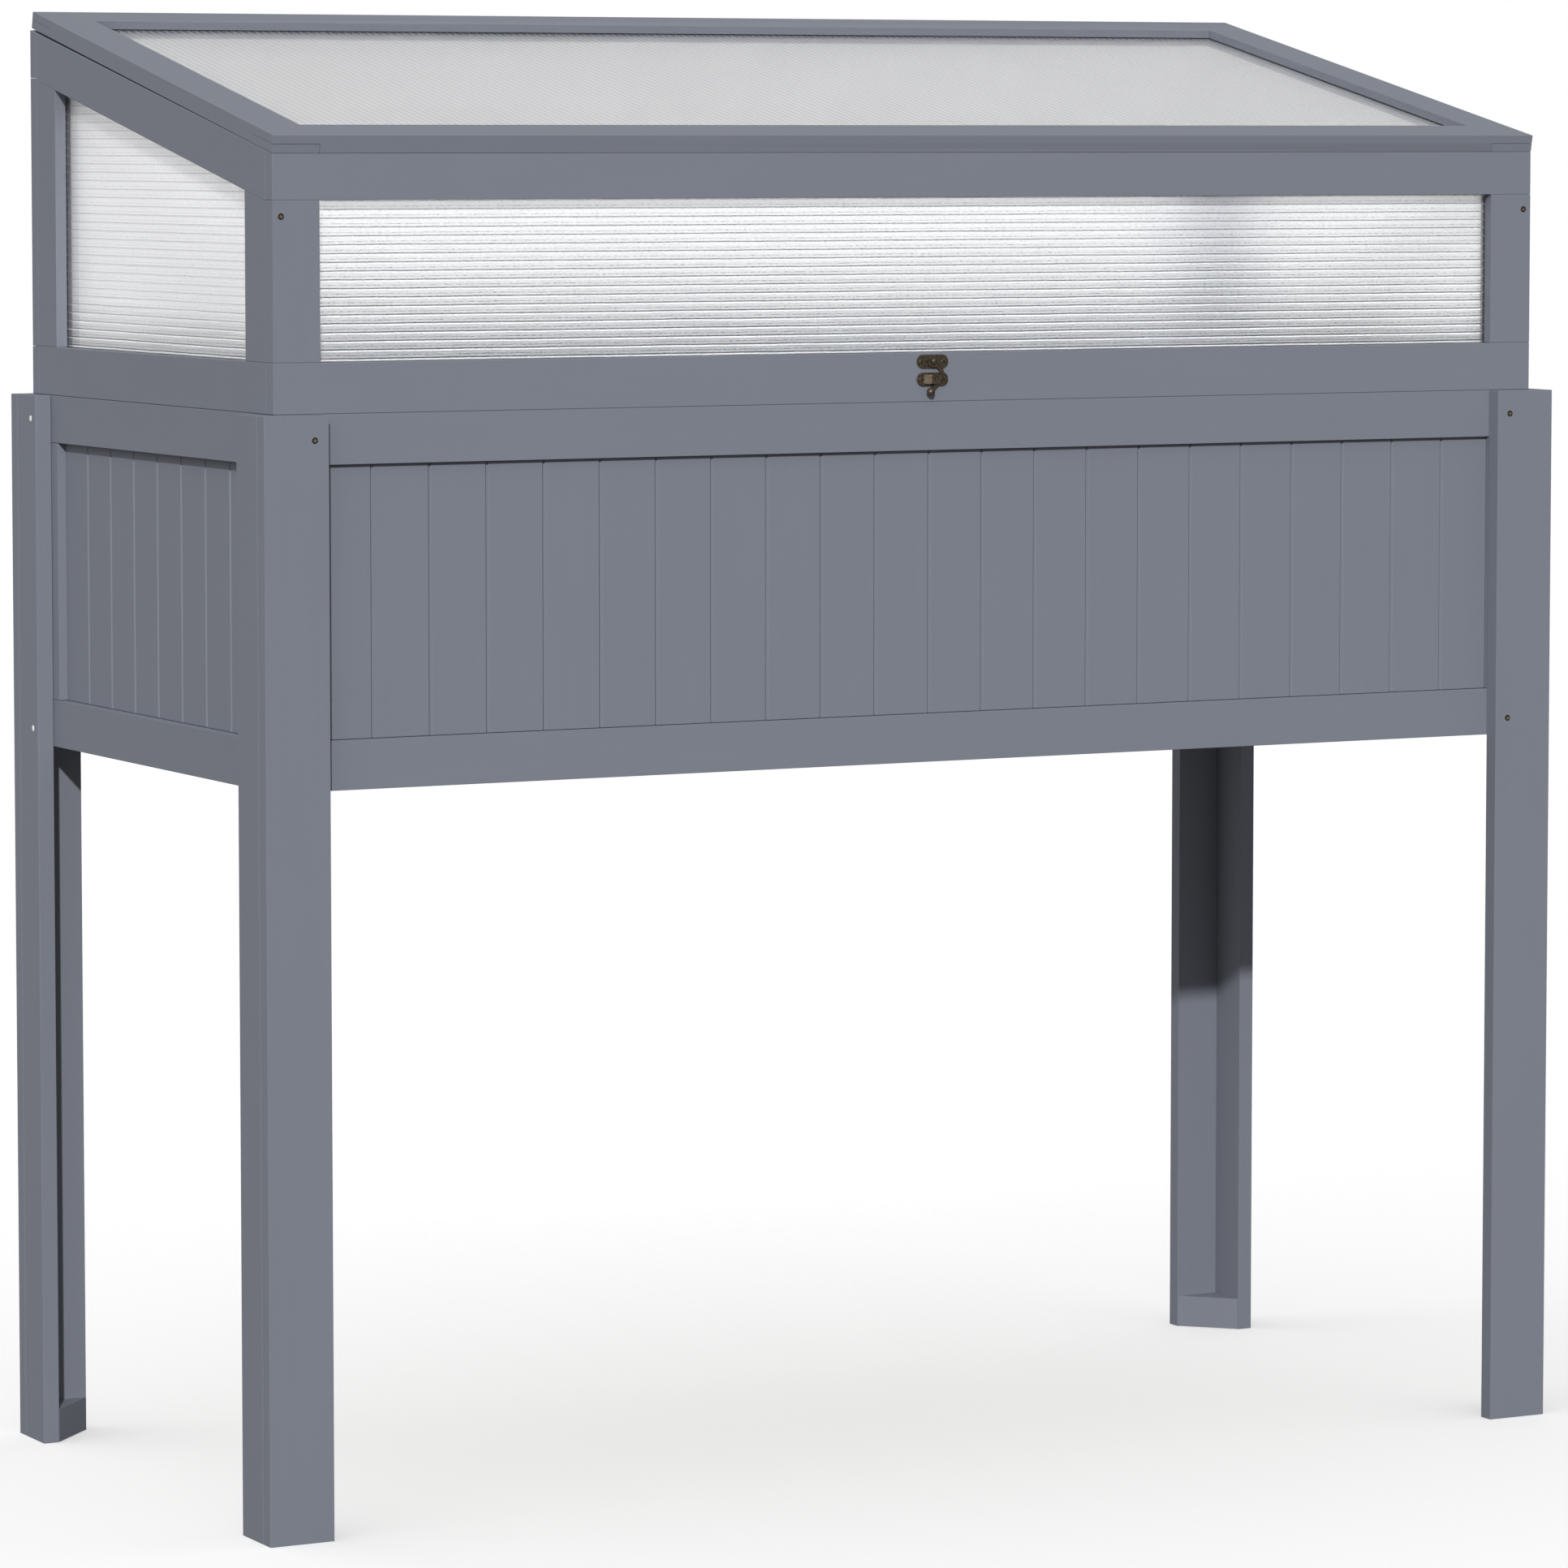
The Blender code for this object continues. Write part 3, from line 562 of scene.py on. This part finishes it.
def box_piece(name, x, y, z, material, body, arris=ARRIS):
    bm = bmesh.new()
    bmesh.ops.create_cube(bm, size=1.0)
    bmesh.ops.scale(bm, vec=[b - a for a, b in (x, y, z)], verts=bm.verts)
    bmesh.ops.translate(bm, vec=[(a + b) / 2 for a, b in (x, y, z)], verts=bm.verts)
    soften(bm, arris)
    painted_piece(name, bm, material, body)


def post_piece(name, corners, z, material, body):
    """An upright piece of the given section on XY."""
    bm = bmesh.new()
    prism(bm, *([bm.verts.new((x, y, level)) for x, y in corners] for level in z))
    soften(bm, ARRIS)
    painted_piece(name, bm, material, body)


def between_rails(bottom, top):
    """The Y range of a bottom rail, and the heights between it and the rail above it."""
    low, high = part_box(bottom)
    return (low.y, high.y), (high.z + GAP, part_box(top)[0].z - GAP)


def add_hidden_stiles():
    """The planter's front and rear stiles behind the legs."""
    for face in ("front", "rear"):
        y, z = between_rails(f"planter_{face}_bottom_rail", f"planter_{face}_top_rail")
        rail_low, rail_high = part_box(f"planter_{face}_bottom_rail")
        boards_low, boards_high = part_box(f"planter_{face}_boards")
        spans = {
            "left": (rail_low.x, boards_low.x - GAP),
            "right": (boards_high.x + GAP, rail_high.x),
        }
        for side, x in spans.items():
            box_piece(f"planter_{face}_{side}_stile", x, y, z, PAINTS[Z], "planter")


def add_rear_posts():
    """The cover's rear posts, each rebated inside for the rear sheet."""
    y, z = between_rails("cover_rear_bottom_rail", "cover_rear_top_rail")
    rebate = y[0] + SHEET + GAP
    for side, sign in SIDES:
        post_low, post_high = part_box(f"cover_front_{side}_post")
        outer, inner = (post_low.x, post_high.x)[::-sign]
        corners = [
            (outer, y[1]),
            (inner, y[1]),
            (inner, rebate),
            (inner + sign * SHEET_LAP, rebate),
            (inner + sign * SHEET_LAP, y[0]),
            (outer, y[0]),
        ]
        post_piece(f"cover_rear_{side}_post", corners, z, PAINTS[Z], "cover")


def ring(bm, radius, z, steps=24):
    """Points round a circle about the Z axis."""
    turns = [2 * pi * i / steps for i in range(steps)]
    return [bm.verts.new((radius * cos(turn), radius * sin(turn), z)) for turn in turns]


def cross(bm, arm, half, z):
    """The outline of a cross recess, from the length of its arms and half their width."""
    quarter = [(arm, -half), (arm, half), (half, half)]
    points = []
    for turn in range(4):
        for x, y in quarter:
            for _ in range(turn):
                x, y = -y, x
            points.append(bm.verts.new((x, y, z)))
    return points


def loop_edges(bm, verts):
    """The edges round a loop of points, made where there are none yet."""
    pairs = zip(verts, verts[1:] + verts[:1])
    return [bm.edges.get(pair) or bm.edges.new(pair) for pair in pairs]


def add_rail_paint():
    """Paint along the top of the planter's rails, which closes most of the gap under the cover."""
    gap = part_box("cover_front_bottom_rail")[0].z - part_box("planter_front_top_rail")[1].z
    for part in ("front", "rear", "left", "right"):
        low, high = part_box(f"planter_{part}_top_rail")
        x = (low.x + RAIL_PAINT_INSET, high.x - RAIL_PAINT_INSET)
        y = (low.y + RAIL_PAINT_INSET, high.y - RAIL_PAINT_INSET)
        z = (high.z, high.z + RAIL_PAINT_FILL * gap)
        box_piece(f"planter_{part}_strip", x, y, z, PAINTS[X], "planter", gap / 8)


def face_height(face):
    return face.calc_center_median().z


def post_ends(name):
    """The outlines of a post's end faces, drawn in from its softened edges, with the faces' normals."""
    bm = bmesh.new()
    bm.from_mesh(NODES[name].data)
    bmesh.ops.remove_doubles(bm, verts=bm.verts, dist=GAP / 100)
    bmesh.ops.dissolve_limit(bm, angle_limit=radians(1), verts=bm.verts, edges=bm.edges)
    level = [face for face in bm.faces if abs(face.normal.z) > 0.8]
    ends = [min(level, key=face_height), max(level, key=face_height)]
    bmesh.ops.inset_individual(bm, faces=ends, thickness=ARRIS)
    outlines = [([vert.co.copy() for vert in face.verts], face.normal.copy()) for face in ends]
    bm.free()
    return outlines


def add_seam_paint():
    """Paint that bridges the joint lines at both ends of the cover's posts."""
    for name in [name for name in NODES if name.startswith("cover_") and name.endswith("_post")]:
        bm = bmesh.new()
        for outline, normal in post_ends(name):
            steps = [normal * GAP * part for part in SEAM_PAINT_FILL]
            prism(bm, *([bm.verts.new(point + step) for point in outline] for step in steps))
        painted_piece(name + "_seams", bm, PAINTS[Z], "cover")


# Added screws, caps and rivet


def screw_mesh(name, radius, material, recess):
    """A screw head, its foot at z = 0, with a chamfered rim and a cross recess in its own material."""
    mesh = bpy.data.meshes.new(name)
    bm = bmesh.new()
    foot = ring(bm, radius, 0.0)
    rim = ring(bm, radius, HEAD_HEIGHT * HEAD_RIM_UP)
    top = ring(bm, radius * HEAD_TOP, HEAD_HEIGHT)
    band(bm, foot, rim)
    band(bm, rim, top)
    bm.faces.new(foot[::-1])
    mouth = cross(bm, *(radius * part for part in RECESS_MOUTH), HEAD_HEIGHT)
    floor = cross(bm, *(radius * part for part in RECESS_FLOOR), HEAD_HEIGHT * RECESS_FLOOR_UP)
    for face in band(bm, floor, mouth) + [bm.faces.new(floor)]:
        face.material_index = 1
    bmesh.ops.triangle_fill(bm, use_beauty=True, edges=loop_edges(bm, top) + loop_edges(bm, mouth))
    bmesh.ops.recalc_face_normals(bm, faces=bm.faces)
    bm.to_mesh(mesh)
    bm.free()
    mesh.materials.append(material)
    mesh.materials.append(recess)
    return mesh


def cap_mesh(name, radius, height, material):
    """A low domed cap, its foot at z = 0."""
    mesh = bpy.data.meshes.new(name)
    bm = bmesh.new()
    angles = (0, pi / 8, pi / 4, 3 * pi / 8)
    rings = [ring(bm, radius * cos(angle), height * sin(angle)) for angle in angles]
    for lower, upper in zip(rings, rings[1:]):
        band(bm, lower, upper)
    bm.faces.new(rings[-1])
    bm.faces.new(rings[0][::-1])
    bmesh.ops.recalc_face_normals(bm, faces=bm.faces)
    bm.to_mesh(mesh)
    bm.free()
    mesh.shade_smooth()
    mesh.materials.append(material)
    return mesh


def fix(name, mesh, point, outward, turn, body):
    """Sets a head or a cap on a face, turned about its own axis."""
    obj = bpy.data.objects.new(name, mesh)
    bpy.context.scene.collection.objects.link(obj)
    facing = Vector(outward).to_track_quat("Z", "Y").to_matrix().to_4x4()
    obj.matrix_world = Matrix.Translation(point) @ facing @ Matrix.Rotation(turn, 4, "Z")
    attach(obj, body)


def add_timber_screws():
    """Bronze heads on the cover's front posts and on the legs' face boards, each turned its own way."""
    head = screw_mesh("screw_head", TIMBER_HEAD, SCREW_BRONZE, WORN_BRONZE)
    y_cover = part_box("cover_front_left_post")[0].y
    leg_faces = (
        ("front", -1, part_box("front_left_leg_face_board")[0].y),
        ("rear", 1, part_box("rear_left_leg_face_board")[1].y),
    )
    for side, sign in SIDES:
        point = (sign * POST_SCREW_OUT, y_cover, POST_SCREW_UP)
        fix(f"cover_post_screw_{side}", head, point, FRONT, POST_SCREW_TURN, "cover")
        for face, out, y in leg_faces:
            for level, z in SCREW_LEVELS.items():
                if (face, side, level) == NO_LEG_SCREW:
                    continue
                name = f"leg_screw_{face}_{side}_{level}"
                point, turn = (sign * LEG_SCREW_OUT, y, z), 0.5 * sign + z
                fix(name, head, point, (0, out, 0), turn, "planter")


def add_caps():
    """White caps on the outer faces of the rear legs' side boards."""
    cap = cap_mesh("screw_cap", CAP_RADIUS, HEAD_HEIGHT, CAP_PLASTIC)
    for end, (side, sign) in enumerate(SIDES):
        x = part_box(f"rear_{side}_leg_side_board")[end].x
        for level, z in SCREW_LEVELS.items():
            name = f"screw_cap_{side}_{level}"
            fix(name, cap, (x, LEG_CAP_BACK, z), (sign, 0, 0), 0, "planter")


def add_latch_screws():
    """Two small heads on each latch plate, near its round ends, each turned its own way."""
    head = screw_mesh("latch_screw", LATCH_HEAD, BRONZE, SCREW_BRONZE)
    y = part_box("cover_front_bottom_rail")[0].y - GAP - LATCH_PLATE
    for plate in ("hook", "catch"):
        low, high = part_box(f"latch_{plate}_plate")
        for side, sign in SIDES:
            x = sign * ((high.x - low.x) / 2 - LATCH_SCREW_IN)
            name, point, turn = f"latch_{plate}_screw_{side}", (x, y, (low.z + high.z) / 2), sign + x * 90
            fix(name, head, point, FRONT, turn, "cover")


def add_rivet():
    """The domed head of the rivet that the hook turns on."""
    low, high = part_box("latch_hook_plate")
    centre = ((low.x + high.x) / 2, low.y, (low.z + high.z) / 2)
    dome = cap_mesh("rivet_dome", RIVET_RADIUS, RIVET_HEIGHT, BRONZE)
    fix("rivet_dome", dome, centre, FRONT, 0, "cover")


def add_hinge_screws():
    """Two heads on each leaf, on the face away from the timber, each turned its own way."""
    # The zinc heads' cross recesses are dark screw bronze: painted shade in the recess
    head = screw_mesh("hinge_screw", HINGE_HEAD, ZINC, SCREW_BRONZE)
    pins = {joint["name"]: joint["pos_m"] for joint in frame["record"]["behaviour"]["joints"]}
    tilt = main_normal("lid_sheet")
    tilt = tilt if tilt.z > 0 else -tilt
    down_slope = Vector((0, -tilt.z, tilt.y))
    back, up = Vector((0, 1, 0)), Vector((0, 0, 1))
    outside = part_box("cover_rear_top_rail")[1].y + GAP + HINGE_LEAF
    leaves = {
        "planter_leaf": ("cover_hinge", "planter", back, -up),
        "cover_leaf": ("cover_hinge", "cover", back, up),
        "frame_leaf": ("lid_hinge", "cover", back, -up),
        "lid_leaf": ("lid_hinge", "lid", -tilt, down_slope),
    }
    for leaf, (joint, body, outward, along) in leaves.items():
        row = Vector(pins[joint]) + along * HINGE_SCREW_FROM_PIN
        for side, _ in SIDES:
            low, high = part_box(f"{joint}_{side}_{leaf}")
            for end, offset in (("a", -HINGE_SCREW_OUT), ("b", HINGE_SCREW_OUT)):
                point = row + Vector(((low.x + high.x) / 2 + offset, 0, 0))
                if outward == back:
                    point.y = outside
                else:
                    point += outward * HINGE_LEAF / 2
                name, turn = f"{joint}_{side}_{leaf}_screw_{end}", 40 * offset
                fix(name, head, point, outward, turn, body)


add_hidden_stiles()
add_rear_posts()
add_timber_screws()
add_seam_paint()
add_caps()
add_latch_screws()
add_rivet()
add_rail_paint()
add_hinge_screws()


# Camera and light


def make_camera():
    data = bpy.data.cameras.new("camera")
    data.sensor_width = CAMERA_SENSOR
    data.lens = CAMERA_LENS
    data.shift_y = CAMERA_SHIFT
    data.clip_end = CAMERA_REACH
    camera = bpy.data.objects.new("camera", data)
    camera.location = CAMERA_PLACE
    camera.rotation_euler = (radians(90 - CAMERA_PITCH), 0, radians(-CAMERA_TURN))
    bpy.context.scene.collection.objects.link(camera)
    bpy.context.scene.camera = camera


def seen_directly(tree):
    """1 for a ray from the camera or through a sheet, 0 for the rays that light things."""
    rays = add(tree, "ShaderNodeLightPath")
    return maths(tree, "MAXIMUM", rays.outputs["Is Camera Ray"], rays.outputs["Is Transmission Ray"])


def seen_or_lighting(tree, seen, lighting):
    """One shader for what is seen directly, and another for what lights the object."""
    mix = add(tree, "ShaderNodeMixShader")
    tree.links.new(seen_directly(tree), mix.inputs["Fac"])
    tree.links.new(lighting, mix.inputs[1])
    tree.links.new(seen, mix.inputs[2])
    return mix.outputs["Shader"]


def make_floor():
    """A pale studio floor, lit a little from below like a light table, so that it runs into the backdrop."""
    mesh = bpy.data.meshes.new("floor")
    bm = bmesh.new()
    bmesh.ops.create_grid(bm, x_segments=1, y_segments=1, size=FLOOR_SIZE)
    bm.to_mesh(mesh)
    bm.free()
    material, tree, _ = new_material("studio_floor")
    tree.nodes.clear()
    link = tree.links.new
    dim = add(tree, "ShaderNodeBsdfDiffuse", in_Color=FLOOR_BOUNCE)
    pale = add(tree, "ShaderNodeBsdfDiffuse", in_Color=FLOOR_SEEN)
    glow = add(tree, "ShaderNodeEmission", in_Strength=FLOOR_GLOW)
    both = add(tree, "ShaderNodeAddShader")
    link(pale.outputs[0], both.inputs[0])
    link(glow.outputs[0], both.inputs[1])
    out = add(tree, "ShaderNodeOutputMaterial")
    link(seen_or_lighting(tree, seen=both.outputs[0], lighting=dim.outputs[0]), out.inputs["Surface"])
    mesh.materials.append(material)
    floor = bpy.data.objects.new("floor", mesh)
    bpy.context.scene.collection.objects.link(floor)
    return floor


def make_key(floor):
    """A nearly parallel light from the upper front left. The floor takes none of it, so no hard shadow."""
    data = bpy.data.lights.new("key", "SUN")
    data.energy = KEY_STRENGTH * pi
    data.angle = radians(KEY_SPREAD)
    key = bpy.data.objects.new("key", data)
    key.rotation_euler = KEY_TRAVEL.to_track_quat("-Z", "Y").to_euler()
    bpy.context.scene.collection.objects.link(key)
    unlit = bpy.data.collections.new("not_lit_by_key")
    unlit.objects.link(floor)
    key.light_linking.receiver_collection = unlit
    unlit.collection_objects[0].light_linking.link_state = "EXCLUDE"


def make_world():
    """A white backdrop. What it sheds on the object is brighter from above and from the left."""
    world = bpy.data.worlds.new("studio")
    world.use_nodes = True
    tree = world.node_tree
    tree.nodes.clear()
    link = tree.links.new
    where = add(tree, "ShaderNodeTexCoord")
    split = add(tree, "ShaderNodeSeparateXYZ")
    link(where.outputs["Generated"], split.inputs["Vector"])
    upward = maths(tree, "MAXIMUM", split.outputs["Z"], 0.0)
    leftward = maths(tree, "MAXIMUM", maths(tree, "MULTIPLY", split.outputs["X"], -1), 0.0)
    above = maths(tree, "MULTIPLY", upward, FILL_ABOVE)
    left = maths(tree, "MULTIPLY", leftward, FILL_LEFT)
    level = maths(tree, "ADD", maths(tree, "ADD", above, left), FILL_ROUND)

    white = (1, 1, 1, 1)
    fill = add(tree, "ShaderNodeBackground", in_Color=white)
    link(level, fill.inputs["Strength"])
    backdrop = add(tree, "ShaderNodeBackground", in_Color=white, in_Strength=1.0)
    shade = seen_or_lighting(tree, seen=backdrop.outputs["Background"], lighting=fill.outputs["Background"])
    out = add(tree, "ShaderNodeOutputWorld")
    link(shade, out.inputs["Surface"])
    bpy.context.scene.world = world


make_camera()
make_key(make_floor())
make_world()

scene = bpy.context.scene
scene.view_settings.view_transform = "Standard"
scene.view_settings.look = "None"
scene.cycles.max_bounces = BOUNCES
scene.cycles.transmission_bounces = BOUNCES
scene.cycles.transparent_max_bounces = CLEAR_BOUNCES
scene.cycles.use_denoising = True
